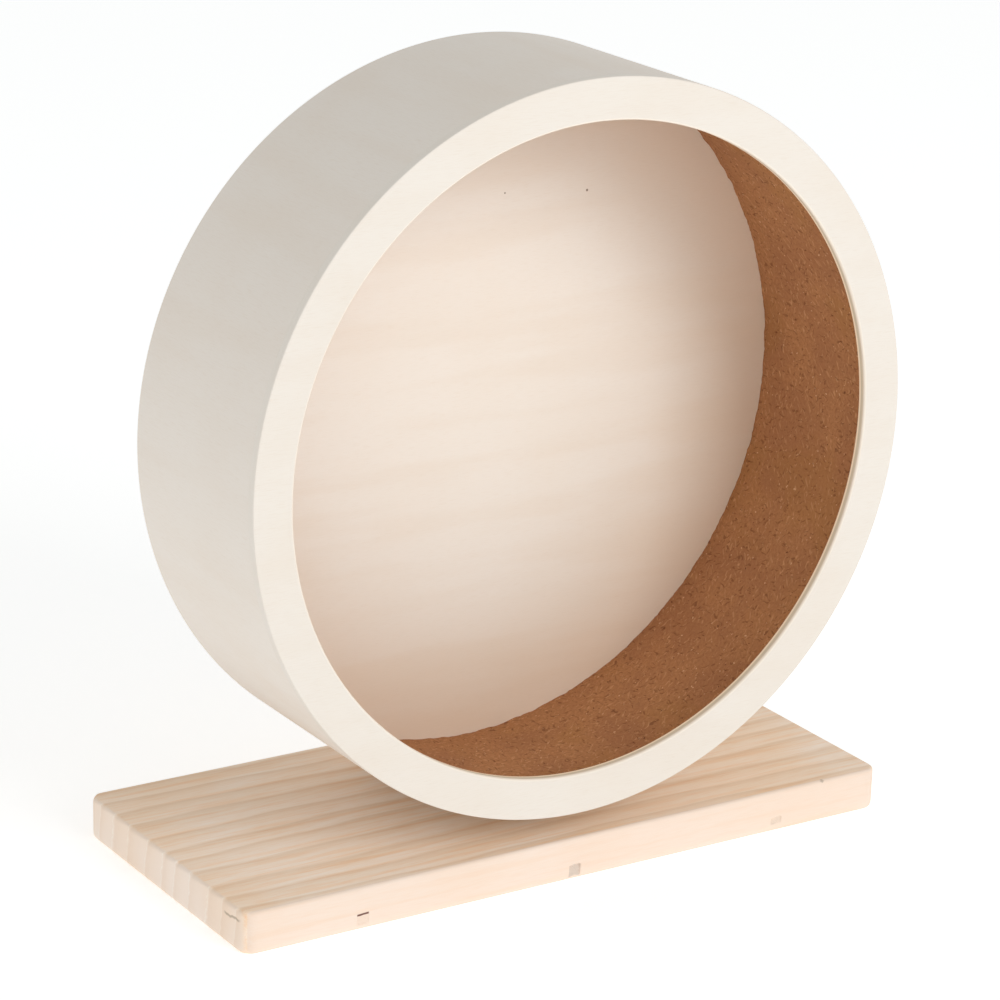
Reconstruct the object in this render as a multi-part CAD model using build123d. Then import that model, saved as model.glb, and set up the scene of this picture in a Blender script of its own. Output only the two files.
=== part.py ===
from build123d import *
import os
from math import cos, radians, sqrt

# Rodent exercise wheel: a cork-lined plywood drum, open at the front, that turns on
# two ball bearings in an upright behind it. Millimetres, +Z up, open front towards -Y.
# The origin is the centre of the base board's underside.

# Drum
drum_radius = 150.0
drum_depth = 94.0
ring_width = 17.0
ring_thickness = 4.0
ring_arris = 1.0
wall_thickness = 2.0
wall_seam_angle = -40.0
cork_thickness = 1.0
cork_seam_angle = 160.0
seam_gap = 0.4
disc_thickness = 5.0
glue_line = 0.1

# Stand
base_length = 305.0
base_thickness = 18.0
base_corner_radius = 6.0
base_rear_margin = 9.3
base_arris = 1.5
upright_width = 70.0
upright_thickness = 18.0
upright_arris = 2.0
drum_overhang = 0.8
ground_clearance = 11.0

# Dowels and screws under the upright
dowel_diameter = 8.0
dowel_length = 30.0
dowel_depth_in_base = 12.0
dowel_spacing = 48.0
dowel_end_gap = 1.0
stand_screw_diameter = 4.5
stand_screw_length = 45.0
stand_screw_head = 9.0
stand_screw_head_height = 2.6
stand_screw_spacing = 20.0
stand_screw_recess = 0.4
screw_fit = 0.02
wood_fit = 0.1

# Hub block, axle bolt, nuts, washers and spacer
hub_radius = 35.0
hub_thickness = 10.0
bolt_diameter = 8.0
bolt_head_flats = 13.0
bolt_head_height = 5.3
bolt_tip_gap = 1.0
bolt_fit = 0.03
washer_diameter = 16.0
washer_thickness = 1.6
spring_washer_diameter = 14.8
spring_washer_thickness = 2.0
spring_washer_gap = 1.6
spacer_fit = 0.1
bearing_spacer_diameter = 11.0
lock_nut_flats = 13.0
lock_nut_thickness = 4.0
nut_flange_radius = 11.0
nut_flange_thickness = 1.5
nut_barrel_radius = 5.5
nut_prong_count = 4
nut_prong_length = 5.0
nut_prong_width = 3.5
nut_prong_thickness = 1.2

# Ball bearings, two alike
bearing_bore = 8.0
bearing_diameter = 22.0
bearing_width = 7.0
ball_count = 7
ball_diameter = 3.969
pitch_diameter = 15.0
race_clearance = 0.05
race_width = 3.4
inner_shoulder_radius = 6.05
outer_shoulder_radius = 9.0
cage_ring_gap = 0.45
cage_recess = 1.0
cage_reach = 0.9
pocket_clearance = 0.1
press_fit = 0.02

# Places that follow from the sizes above
base_width = (drum_depth - drum_overhang + hub_thickness + lock_nut_thickness
              + upright_thickness + base_rear_margin)
base_front_y = -base_width / 2
drum_front_y = base_front_y - drum_overhang
ring_rear_y = drum_front_y + ring_thickness
drum_rear_y = drum_front_y + drum_depth
disc_front_y = drum_rear_y - disc_thickness
hub_rear_y = drum_rear_y + hub_thickness
upright_front_y = hub_rear_y + lock_nut_thickness
upright_mid_y = upright_front_y + upright_thickness / 2
upright_rear_y = upright_front_y + upright_thickness
washer_rear_y = upright_rear_y + washer_thickness
head_front_y = washer_rear_y + spring_washer_thickness
front_bearing_y = upright_front_y + bearing_width / 2
rear_bearing_y = upright_rear_y - bearing_width / 2
axle_height = base_thickness + ground_clearance + drum_radius
wall_inner_radius = drum_radius - wall_thickness
lining_outer_radius = wall_inner_radius - glue_line
lining_inner_radius = lining_outer_radius - cork_thickness
ball_radius = ball_diameter / 2
pitch_radius = pitch_diameter / 2
bolt_radius = bolt_diameter / 2
thread_radius = bolt_radius + bolt_fit
spacer_bore_radius = bolt_radius + spacer_fit
axle = Axis((0, 0, axle_height), (0, 1, 0))


def turned(points):
    """Solid turned about the axle from an outline of (radius, y) points."""
    outline = make_face(Polyline(*points, close=True))
    return revolve(Pos(0, 0, axle_height) * outline, axle)


def tube(outer_radius, inner_radius, y_start, y_end):
    """Plain tube on the axle."""
    return turned([(inner_radius, y_start), (outer_radius, y_start),
                   (outer_radius, y_end), (inner_radius, y_end)])


def rod(radius, y_start, y_end):
    """Plain round bar on the axle."""
    return turned([(0, y_start), (radius, y_start), (radius, y_end), (0, y_end)])


def around_axle(shape, angle):
    """The shape turned about the axle by an angle in degrees."""
    return shape.rotate(axle, angle)


def seam_cut(angle):
    """Thin radial slot along the whole drum, where the ends of a bent strip meet."""
    slot = Box(drum_radius, 2 * drum_depth, seam_gap)
    slot = Pos(drum_radius, drum_rear_y, axle_height) * slot
    return around_axle(slot, -angle)


def post(radius, x, z_start, z_end):
    """Plain standing cylinder on the middle plane of the upright."""
    foot = (Align.CENTER, Align.CENTER, Align.MIN)
    return Pos(x, upright_mid_y, z_start) * Cylinder(radius, z_end - z_start, align=foot)


def hexagon(flats, y_start, y_end):
    """Six-sided bar on the axle, measured across its flats."""
    outline = Plane.XZ * RegularPolygon(flats / 2 / cos(radians(30)), 6)
    return Pos(0, y_end, axle_height) * extrude(outline, y_end - y_start)


# Drum pieces

def front_ring():
    """Flat plywood ring with the edge of its hole eased."""
    hole_radius = drum_radius - ring_width
    return turned([(hole_radius, ring_rear_y), (hole_radius, drum_front_y + ring_arris),
                   (hole_radius + ring_arris, drum_front_y),
                   (drum_radius, drum_front_y), (drum_radius, ring_rear_y)])


def drum_wall():
    """Thin plywood strip bent to a hoop, its ends butted at a seam."""
    hoop = tube(drum_radius, wall_inner_radius, ring_rear_y, drum_rear_y)
    return hoop - seam_cut(wall_seam_angle)


def cork_lining():
    """Cork strip inside the wall, from the ring to the disc."""
    hoop = tube(lining_outer_radius, lining_inner_radius, ring_rear_y, disc_front_y)
    return hoop - seam_cut(cork_seam_angle)


def rear_disc():
    """Plywood disc let into the back of the wall."""
    return rod(lining_outer_radius, disc_front_y, drum_rear_y)


def nut_prongs():
    """Pointed prongs bent back from the tee nut's flange."""
    root_y = drum_rear_y + nut_flange_thickness
    point_y = root_y + nut_prong_length
    half = nut_prong_width / 2
    face = make_face(Polyline((-half, root_y), (half, root_y), (0, point_y), close=True))
    prong = extrude(face, nut_prong_thickness)
    prong = Pos(0, 0, axle_height + nut_flange_radius - nut_prong_thickness) * prong
    return [around_axle(prong, 360 / nut_prong_count * index) for index in range(nut_prong_count)]


def tee_nut():
    """Pressed steel nut: a round flange against the disc, prongs, and a barrel through the hub."""
    flange_rear_y = drum_rear_y + nut_flange_thickness
    nut = tube(nut_flange_radius, thread_radius, drum_rear_y, flange_rear_y)
    nut += tube(nut_barrel_radius, thread_radius, flange_rear_y, hub_rear_y)
    for prong in nut_prongs():
        nut += prong
    return nut


def hub_block():
    """Round plywood block glued to the disc, with a sunk seat for the tee nut."""
    flange_rear_y = drum_rear_y + nut_flange_thickness
    block = rod(hub_radius, drum_rear_y, hub_rear_y)
    block -= rod(nut_flange_radius + wood_fit, drum_rear_y, flange_rear_y)
    block -= rod(nut_barrel_radius + press_fit, drum_rear_y, hub_rear_y)
    for prong in nut_prongs():
        block -= prong
    return block


# Stand pieces

def pair(spacing):
    """Two places along X, the same distance each side of the middle."""
    return (-spacing / 2, spacing / 2)


def base_dowels():
    """Beech dowels, partly in the base board and partly in the upright."""
    foot = base_thickness - dowel_depth_in_base
    return [post(dowel_diameter / 2, x, foot, foot + dowel_length) for x in pair(dowel_spacing)]


def dowel_holes():
    """Holes for the dowels, with room for glue at both ends."""
    low = base_thickness - dowel_depth_in_base - dowel_end_gap
    high = low + dowel_length + 2 * dowel_end_gap
    return [post(dowel_diameter / 2 + wood_fit, x, low, high) for x in pair(dowel_spacing)]


def base_screws():
    """Pan-head wood screws up through the base board into the upright."""
    seat = stand_screw_recess + stand_screw_head_height
    return [post(stand_screw_head / 2, x, stand_screw_recess, seat)
            + post(stand_screw_diameter / 2, x, seat, seat + stand_screw_length)
            for x in pair(stand_screw_spacing)]


def base_screw_holes():
    """Pilot holes for the screws, with a counterbore that sinks their heads."""
    seat = stand_screw_recess + stand_screw_head_height
    return [post(stand_screw_head / 2 + wood_fit, x, 0, seat)
            + post(stand_screw_diameter / 2 + screw_fit, x, seat, seat + stand_screw_length + screw_fit)
            for x in pair(stand_screw_spacing)]


def base_board():
    """Pine board with rounded corners, drilled for the upright's dowels and screws."""
    board = extrude(RectangleRounded(base_length, base_width, base_corner_radius), base_thickness)
    board = chamfer(board.faces().sort_by(Axis.Z)[-1].outer_wire().edges(), base_arris)
    for hole in dowel_holes() + base_screw_holes():
        board -= hole
    return board


def upright_board():
    """Board with a half-round top about the axle, bored through for the two bearings."""
    shank_height = axle_height - base_thickness
    side = Rectangle(upright_width, shank_height, align=(Align.CENTER, Align.MIN))
    side = Pos(0, base_thickness) * side + Pos(0, axle_height) * Circle(upright_width / 2)
    board = Pos(0, upright_rear_y, 0) * extrude(Plane.XZ * side, upright_thickness)
    for side_y in (upright_front_y, upright_rear_y):
        outline = board.faces().filter_by(Axis.Y).sort_by(lambda face: abs(face.center().Y - side_y))[0]
        eased = [edge for edge in outline.outer_wire().edges() if edge.center().Z > base_thickness + 1]
        board = chamfer(eased, upright_arris)
    board -= rod(bearing_diameter / 2 + press_fit, upright_front_y, upright_rear_y)
    for hole in dowel_holes() + base_screw_holes():
        board -= hole
    return board


# Axle pieces

def axle_bolt():
    """Hexagon bolt, its head behind the upright and its tip in the tee nut."""
    shank = rod(bolt_radius, drum_rear_y + bolt_tip_gap, head_front_y)
    return shank + hexagon(bolt_head_flats, head_front_y, head_front_y + bolt_head_height)


def lock_nut():
    """Thin hexagon nut, tightened against the hub, that also spaces the hub from the bearing."""
    nut = hexagon(lock_nut_flats, hub_rear_y, upright_front_y)
    return nut - rod(thread_radius, hub_rear_y, upright_front_y)


def head_washer():
    """Flat washer that bears on the rear bearing's inner ring."""
    return tube(washer_diameter / 2, spacer_bore_radius, upright_rear_y, washer_rear_y)


def spring_washer():
    """Split spring washer, pressed flat under the bolt's head."""
    radius = spring_washer_diameter / 2
    washer = tube(radius, spacer_bore_radius, washer_rear_y, head_front_y)
    split = Box(radius, 2 * spring_washer_thickness, spring_washer_gap)
    split = Pos(radius, (washer_rear_y + head_front_y) / 2, axle_height) * split
    return washer - around_axle(split, -90)


def bearing_spacer():
    """Tube between the two inner rings."""
    start_y = upright_front_y + bearing_width
    return tube(bearing_spacer_diameter / 2, spacer_bore_radius, start_y, upright_rear_y - bearing_width)


# Bearing pieces, each at its middle plane y

def race(shoulder_radius, floor_radius, y):
    """Outline points of a ball race, a plain groove, from front to back."""
    return [(shoulder_radius, y - race_width / 2), (floor_radius, y - race_width / 2),
            (floor_radius, y + race_width / 2), (shoulder_radius, y + race_width / 2)]


def inner_ring(y):
    """Inner ring with its race."""
    half = bearing_width / 2
    bore = bearing_bore / 2
    floor = pitch_radius - ball_radius - race_clearance
    return turned([(bore, y + half), (bore, y - half), (inner_shoulder_radius, y - half),
                   *race(inner_shoulder_radius, floor, y), (inner_shoulder_radius, y + half)])


def outer_ring(y):
    """Outer ring with its race."""
    half = bearing_width / 2
    rim = bearing_diameter / 2
    floor = pitch_radius + ball_radius + race_clearance
    return turned([(rim, y + half), (rim, y - half), (outer_shoulder_radius, y - half),
                   *race(outer_shoulder_radius, floor, y), (outer_shoulder_radius, y + half)])


def ball_angles():
    return [360 / ball_count * (index + 0.5) for index in range(ball_count)]


def balls(y):
    """Balls on the pitch circle, each a cube with its edges cut back to 26 flats."""
    corner_ratio = sqrt(1 + 2 * (sqrt(2) - 1) ** 2)
    flat = ball_diameter / corner_ratio
    cube = Box(flat, flat, flat)
    ball = chamfer(cube.edges(), flat * (1 - sqrt(0.5)))
    ball = Pos(pitch_radius, y, axle_height) * ball
    return [around_axle(ball, angle) for angle in ball_angles()]


def cage(y, side):
    """Crown cage: a ring on one side of the balls with fingers between them."""
    back = bearing_width / 2 - cage_recess
    ring = tube(outer_shoulder_radius - cage_ring_gap, inner_shoulder_radius + cage_ring_gap,
                *sorted((y - side * cage_reach, y + side * back)))
    width = ball_diameter + 2 * pocket_clearance
    pocket = Pos(pitch_radius, y, axle_height) * Box(pitch_radius, width, width)
    return ring.cut(*[around_axle(pocket, angle) for angle in ball_angles()])


def write(name, pieces):
    """Saves one node; several separate solids go in as a group."""
    if isinstance(pieces, list):
        pieces = Compound(children=pieces)
    export_step(pieces, f"parts/{name}.step")


os.makedirs("parts", exist_ok=True)
write("base_board", base_board())
write("upright_board", upright_board())
write("base_dowels", base_dowels())
write("base_screws", base_screws())
write("front_ring", front_ring())
write("drum_wall", drum_wall())
write("cork_lining", cork_lining())
write("rear_disc", rear_disc())
write("hub_block", hub_block())
write("tee_nut", tee_nut())
write("lock_nut", lock_nut())
write("axle_bolt", axle_bolt())
write("head_washer", head_washer())
write("spring_washer", spring_washer())
write("bearing_spacer", bearing_spacer())
for place, middle_y, side in (("front", front_bearing_y, -1), ("rear", rear_bearing_y, 1)):
    write(f"{place}_bearing_outer_ring", outer_ring(middle_y))
    write(f"{place}_bearing_inner_ring", inner_ring(middle_y))
    write(f"{place}_bearing_balls", balls(middle_y))
    write(f"{place}_bearing_cage", cage(middle_y, side))
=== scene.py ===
import math

import bmesh
import bpy
import numpy as np
from mathutils import Matrix, Vector


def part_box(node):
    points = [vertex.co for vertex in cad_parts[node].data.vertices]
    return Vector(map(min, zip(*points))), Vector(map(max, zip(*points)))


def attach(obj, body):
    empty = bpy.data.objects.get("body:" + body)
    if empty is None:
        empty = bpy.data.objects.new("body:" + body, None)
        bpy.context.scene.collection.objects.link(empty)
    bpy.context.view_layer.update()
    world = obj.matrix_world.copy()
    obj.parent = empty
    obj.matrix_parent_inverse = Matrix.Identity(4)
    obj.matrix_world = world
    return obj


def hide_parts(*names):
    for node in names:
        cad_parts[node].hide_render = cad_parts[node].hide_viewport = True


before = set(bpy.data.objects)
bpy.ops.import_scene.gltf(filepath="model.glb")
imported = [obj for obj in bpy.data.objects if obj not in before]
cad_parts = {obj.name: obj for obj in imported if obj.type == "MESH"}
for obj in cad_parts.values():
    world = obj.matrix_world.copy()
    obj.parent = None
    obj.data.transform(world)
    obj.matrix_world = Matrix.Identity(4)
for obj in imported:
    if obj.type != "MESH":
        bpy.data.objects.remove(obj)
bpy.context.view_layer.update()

mm = 0.001


# Camera
# The photograph was taken from the front left and a little above, with a long lens.
# Its place and lens come from a fit of the drum's and the base board's edges.

view_azimuth = math.radians(-32.7091)
view_elevation = math.radians(18.3226)
view_roll = math.radians(1.5467)
view_place = Vector((-0.77049, -1.20200, 0.61426))
lens_length = 133.09
sensor_width = 36
sight_limit = 50

behind = Vector((math.sin(view_azimuth) * math.cos(view_elevation),
                 -math.cos(view_azimuth) * math.cos(view_elevation),
                 math.sin(view_elevation)))
level_right = (-behind).cross(Vector((0, 0, 1))).normalized()
level_up = level_right.cross(-behind)
view_right = math.cos(view_roll) * level_right + math.sin(view_roll) * level_up
view_up = -math.sin(view_roll) * level_right + math.cos(view_roll) * level_up


def shown(name, data):
    """A new object of the scene for a mesh, a lamp or a camera."""
    thing = bpy.data.objects.new(name, data)
    bpy.context.scene.collection.objects.link(thing)
    return thing


camera = shown("camera", bpy.data.cameras.new("camera"))
camera.data.lens = lens_length
camera.data.sensor_width = sensor_width
camera.data.clip_end = sight_limit
turn = Matrix((view_right, view_up, behind)).transposed().to_4x4()
camera.matrix_world = Matrix.Translation(view_place) @ turn
bpy.context.scene.camera = camera


# Base board
# A length of planed pine, 18 mm thick, with its grain along X and its top edges lightly eased.
# Cut by hand on a saw: the end edges follow the harder rings, and three small tears
# mark the lower front edge. It is drilled for the dowels and the screws of the upright.

base_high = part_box("base_board")[1]
base_top = base_high.z
axle_z = (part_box("rear_disc")[0].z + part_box("rear_disc")[1].z) / 2
upright_low, upright_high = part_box("upright_board")
post_y = (upright_low.y + upright_high.y) / 2
quarter = np.radians(np.arange(0, 91, 15))
weld_gap = 2e-6

ring_width = 12.8 * mm
ring_start = 58 * mm
ring_lean = 0.16
slow_bend, slow_along, slow_across = 1.3 * mm, 38 * mm, 23 * mm
quick_bend, quick_along, quick_across = 0.45 * mm, 9 * mm, 6 * mm
wide_swing, wide_length = 0.12, 9 * mm
small_swing, small_length = 0.05, 3.1 * mm


def smooth_step(value, low, high):
    """0 below low, 1 above high, and a smooth cubic between them."""
    share = np.clip((value - low) / (high - low), 0, 1)
    return share * share * (3 - 2 * share)


def wood_rings(across, along, depth, sine):
    """Growth rings as a phase that rises by one a ring. The distance across the board, leant by
    the depth and bent by two slow sines along the grain, is divided by the mean ring width, and
    two more sines make the rings wider and narrower in turn."""
    drift = across + ring_start + ring_lean * depth
    drift = drift + slow_bend * sine(along * (1 / slow_along) + across * (1 / slow_across))
    drift = drift + quick_bend * sine(along * (1 / quick_along) + across * (1 / quick_across))
    return (drift * (1 / ring_width) + wide_swing * sine(drift * (1 / wide_length))
            + small_swing * sine(drift * (1 / small_length) + 1.0))


def skin(name, points, around=True, fold=32):
    """One smooth surface over a grid of points, rows by columns. The columns close on themselves
    when around is true. Points that meet are welded, so poles and seams are closed."""
    rows, columns = points.shape[:2]
    spans = columns if around else columns - 1
    row = np.arange(rows - 1)[:, None] * columns
    here, beside = np.arange(spans), (np.arange(spans) + 1) % columns
    corners = [row + here, row + beside, row + columns + beside, row + columns + here]
    quads = np.stack(corners, axis=-1).reshape(-1, 4)
    mesh = bpy.data.meshes.new(name)
    mesh.from_pydata(points.reshape(-1, 3).tolist(), [], quads.tolist())
    return weld(name, mesh, fold)


def weld(name, mesh, fold=32):
    """Merges the points that meet, turns the faces outwards and smooths them up to an angle."""
    work = bmesh.new()
    work.from_mesh(mesh)
    bmesh.ops.remove_doubles(work, verts=work.verts, dist=weld_gap)
    bmesh.ops.dissolve_degenerate(work, dist=weld_gap / 20, edges=work.edges)
    bmesh.ops.recalc_face_normals(work, faces=work.faces)
    work.to_mesh(mesh)
    work.free()
    mesh.shade_smooth()
    mesh.set_sharp_from_angle(angle=math.radians(fold))
    return shown(name, mesh)


def post_mesh(name, x, radius_steps):
    """Stepped round bar standing at x on the upright's middle plane, as a grid of circles.
    radius_steps lists (radius, height) from its foot to its top."""
    angle = np.linspace(0, 2 * math.pi, 48, endpoint=False)
    steps = np.array([(0, radius_steps[0][1])] + radius_steps + [(0, radius_steps[-1][1])])
    grid = np.empty((len(steps), len(angle), 3))
    grid[..., 0] = x + steps[:, :1] * np.cos(angle)
    grid[..., 1] = post_y + steps[:, :1] * np.sin(angle)
    grid[..., 2] = steps[:, 1:]
    return skin(name, grid)


def drill(piece, bars):
    """Cuts the bars out of the piece and keeps the result as its mesh."""
    for bar in bars:
        cut = piece.modifiers.new("hole", "BOOLEAN")
        cut.object = bar
        cut.operation = "DIFFERENCE"
        cut.solver = "EXACT"
    shown = piece.evaluated_get(bpy.context.evaluated_depsgraph_get())
    mesh = bpy.data.meshes.new_from_object(shown)
    piece.modifiers.clear()
    piece.data = mesh
    for bar in bars:
        bpy.data.objects.remove(bar)


base_corner = 6 * mm
base_ease = 1.5 * mm
foot_ease = 1.6 * mm
foot_rise = 2.7 * mm
tear_places = np.array([-100, -1, 99.5]) * mm
tear_feet = np.array([2.4, 1.6, 3.6]) * mm
tear_depths = (0.3, 0.8, 0.4)
tear_tones = ((226, 200, 180), (206, 192, 180), (218, 200, 182))
tear_strengths = (0.3, 0.75, 0.5)
tear_top = 6.4 * mm
tear_half = 2.4 * mm
tear_slope = 0.06
tear_cut = 1.1 * mm
near_reach, near_step = 3.6 * mm, 0.3 * mm
long_step, short_step = 1.25 * mm, 0.8 * mm
sunk = 0.04 * mm


def tears(x, z):
    """Depth share of the torn marks: each a patch about 5.5 mm wide low on the front face, with a
    slanting, slightly uneven upper edge and a lower edge at its own height."""
    share = np.zeros_like(x)
    for place, foot, depth in zip(tear_places, tear_feet, tear_depths):
        top = tear_top + tear_slope * (x - place) + 0.15 * mm * np.sin((x - place) / (0.7 * mm))
        inside = 1 - smooth_step(np.abs(x - place), tear_half, tear_half + 0.4 * mm)
        inside = inside * smooth_step(z, foot - 0.4 * mm, foot + 0.2 * mm)
        share = np.maximum(share, depth * inside * (1 - smooth_step(z, top - 0.5 * mm, top)))
    return share


def base_outline():
    """Points round the rounded rectangle of the base board with their outward directions,
    closer together at the torn marks and round the corners."""
    half_x, half_y = base_high.x - base_corner, base_high.y - base_corner
    long_side = np.arange(-half_x, half_x, long_step)
    near_points = np.arange(-near_reach, near_reach + near_step / 2, near_step)
    near = [place + near_points for place in tear_places]
    keep = np.min(np.abs(long_side[:, None] - tear_places), axis=1) > near_reach + 0.1 * mm
    long_side = np.sort(np.concatenate([long_side[keep]] + near))
    short_side = np.arange(-half_y, half_y, short_step)
    arc = np.radians(np.arange(0, 90, 10))
    parts = []
    for x, y, facing, corner_x, corner_y in ((long_side, -half_y, -90, half_x, -half_y),
                                             (half_x, short_side, 0, half_x, half_y),
                                             (-long_side, half_y, 90, -half_x, half_y),
                                             (-half_x, -short_side, 180, -half_x, -half_y)):
        x, y = np.broadcast_arrays(x, y)
        angle = math.radians(facing) + np.concatenate([np.zeros(len(x)), arc])
        parts.append(np.stack([np.append(x, np.full_like(arc, corner_x)),
                               np.append(y, np.full_like(arc, corner_y)),
                               np.cos(angle), np.sin(angle)], 1))
    ring = np.concatenate(parts)
    return ring[:, :2], ring[:, 2:]


def base_board_mesh():
    """Closed skin of rings stacked from the middle of the underside, over the eased foot, up, over
    the eased edge and in to the middle of the top. A ring moves in along its own directions by the
    edge's arc, then towards a line along the board's middle. The upper edge's arc grows across
    each growth ring at the left end, and the top sinks slightly between the rings."""
    core, out = base_outline()
    spine = np.stack([np.clip(core[:, 0], -(base_high.x - base_high.y), base_high.x - base_high.y),
                      np.zeros(len(core))], 1)
    edge = core + out * base_corner
    phase = wood_rings(edge[:, 1], edge[:, 0], base_top, np.sin)
    step = (phase - np.floor(phase)) * smooth_step(1 - phase % 1, 0, 0.12)
    at_end = np.clip(-out[:, 0], 0, 1) ** 2
    ease = base_ease * (1 + at_end * (1.3 * step - 0.4))
    rows = []
    foot = edge - out * foot_ease
    for share in np.concatenate([np.linspace(1, 0, 12)[:-1], [0.01, 0]]):
        rows.append(np.column_stack([foot + (spine - foot) * share, np.zeros(len(edge))]))
    for angle in quarter[1:]:
        inset = foot_ease * (1 - math.sin(angle))
        level = foot_rise * (1 - math.cos(angle))
        rows.append(np.column_stack([edge - out * inset, np.full(len(edge), level)]))
    side_levels = np.concatenate([np.arange(3, 7.6, 0.3), np.arange(8, 15, 1), [14.9]]) * mm
    for height in side_levels:
        rows.append(np.column_stack([edge, np.full(len(edge), height)]))
    for angle in quarter:
        inset = ease * (1 - math.cos(angle))
        level = base_top - ease * (1 - math.sin(angle))
        rows.append(np.column_stack([edge - out * inset[:, None], level]))
    rim = rows[-1][:, :2]
    for share in np.concatenate([[0.012], np.linspace(0.03, 1, 46)]):
        rows.append(np.column_stack([rim + (spine - rim) * share, np.full(len(rim), base_top)]))
    grid = np.array(rows)
    flat_top = grid[..., 2] > base_top - 1e-7
    phase = wood_rings(grid[..., 1], grid[..., 0], grid[..., 2], np.sin)
    grid[..., 2] -= flat_top * sunk * (0.5 - 0.5 * np.cos(2 * math.pi * phase))
    front = smooth_step(-grid[..., 1], base_high.y - 1e-4, base_high.y - 2e-5)
    depth = tears(grid[..., 0], grid[..., 2]) * front
    ragged = 0.8 + 0.2 * np.sin(grid[..., 0] / (0.4 * mm) + grid[..., 2] / (0.5 * mm))
    grid[..., 1] += depth * tear_cut * ragged
    return skin("base_board_skin", grid)


base = base_board_mesh()
dowel_places = (-24 * mm, 24 * mm)
dowel_hole, dowel_foot, dowel_top = 4.1 * mm, 5 * mm, 37 * mm
screw_places = (-10 * mm, 10 * mm)
screw_hole, screw_seat, screw_tip = 2.27 * mm, 3.0 * mm, 48 * mm
head_hole = 4.6 * mm
under_base, over_base = -5 * mm, 25 * mm
drill(base, [post_mesh("bar", x, [(dowel_hole, dowel_foot), (dowel_hole, over_base)])
             for x in dowel_places]
      + [post_mesh("bar", x, [(head_hole, under_base), (head_hole, screw_seat),
                              (screw_hole, screw_seat), (screw_hole, over_base)])
         for x in screw_places])
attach(base, "stand")
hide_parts("base_board")


class Wire:
    """A shader value that takes part in plain arithmetic: each operator adds one Math node."""

    def __init__(self, tree, socket):
        self.tree = tree
        self.socket = socket

    def node(self, kind, settings=None, sockets=None, output=0):
        """Adds a node of any kind: its settings first, then the values or wires of its sockets."""
        made = self.tree.nodes.new(kind)
        for name, value in (settings or {}).items():
            if name == "stops":
                ramp = made.color_ramp
                while len(ramp.elements) < len(value):
                    ramp.elements.new(0.5)
                for stop, (position, colour) in zip(ramp.elements, value):
                    stop.position = position
                    stop.color = colour
            else:
                setattr(made, name, value)
        for name, value in (sockets or {}).items():
            if isinstance(value, Wire):
                self.tree.links.new(value.socket, made.inputs[name])
            else:
                made.inputs[name].default_value = value
        return Wire(self.tree, made.outputs[output])

    def maths(self, operation, *values):
        return self.node("ShaderNodeMath", {"operation": operation}, dict(enumerate(values)))

    def __add__(self, other):
        return self.maths("ADD", self, other)

    def __sub__(self, other):
        return self.maths("SUBTRACT", self, other)

    def __rsub__(self, other):
        return self.maths("SUBTRACT", other, self)

    def __mul__(self, other):
        return self.maths("MULTIPLY", self, other)

    __radd__ = __add__
    __rmul__ = __mul__

    def sine(self):
        return self.maths("SINE", self)

    def fraction(self):
        return self.maths("FRACT", self)

    def size(self):
        return self.maths("ABSOLUTE", self)

    def rise(self, low, high):
        """0 below low and 1 above high, smooth between them."""
        return self.node("ShaderNodeMapRange", {"interpolation_type": "SMOOTHSTEP"},
                         {"Value": self, "From Min": low, "From Max": high})

    def blend(self, first, second, way="MIX"):
        """Colour mix by this wire: the first colour at 0 and the second at 1."""
        return self.node("ShaderNodeMix", {"data_type": "RGBA", "blend_type": way},
                         {0: self, 6: first, 7: second}, 2)

    def ramp(self, *stops):
        return self.node("ShaderNodeValToRGB", {"stops": stops}, {0: self})

    def stretched(self, scale):
        """This vector with each axis multiplied by its own scale."""
        return self.node("ShaderNodeVectorMath", {"operation": "MULTIPLY"}, {0: self, 1: scale})

    def noise(self, scale, detail=3.0, roughness=0.5):
        """Cloudy noise read at this vector, from 0 to 1."""
        sockets = {"Vector": self, "Scale": scale, "Detail": detail, "Roughness": roughness}
        return self.node("ShaderNodeTexNoise", {}, sockets, "Fac")

    def part(self, axis):
        return self.node("ShaderNodeSeparateXYZ", {}, {0: self}, axis)


def srgb(red, green, blue):
    """A screen colour of 0 to 255 as the linear colour that the shader takes."""
    shares = [value / 255 for value in (red, green, blue)]
    return [share / 12.92 if share < 0.04045 else ((share + 0.055) / 1.055) ** 2.4
            for share in shares] + [1.0]


def new_finish(name):
    """A new material, its main shader, and the wire of the piece's own coordinates in metres."""
    material = bpy.data.materials.new(name)
    material.use_nodes = True
    tree = material.node_tree
    shader = tree.nodes["Principled BSDF"]
    place = Wire(tree, tree.nodes.new("ShaderNodeTexCoord").outputs["Object"])
    return material, shader, place


def feed(shader, socket, wire):
    wire.tree.links.new(wire.socket, shader.inputs[socket])


def relief(height, distance, strength=1.0):
    """Bump from a height wire, in metres of distance."""
    sockets = {"Height": height, "Distance": distance, "Strength": strength}
    return height.node("ShaderNodeBump", {}, sockets, "Normal")


def wear(piece, material):
    piece.data.materials.clear()
    piece.data.materials.append(material)


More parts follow.
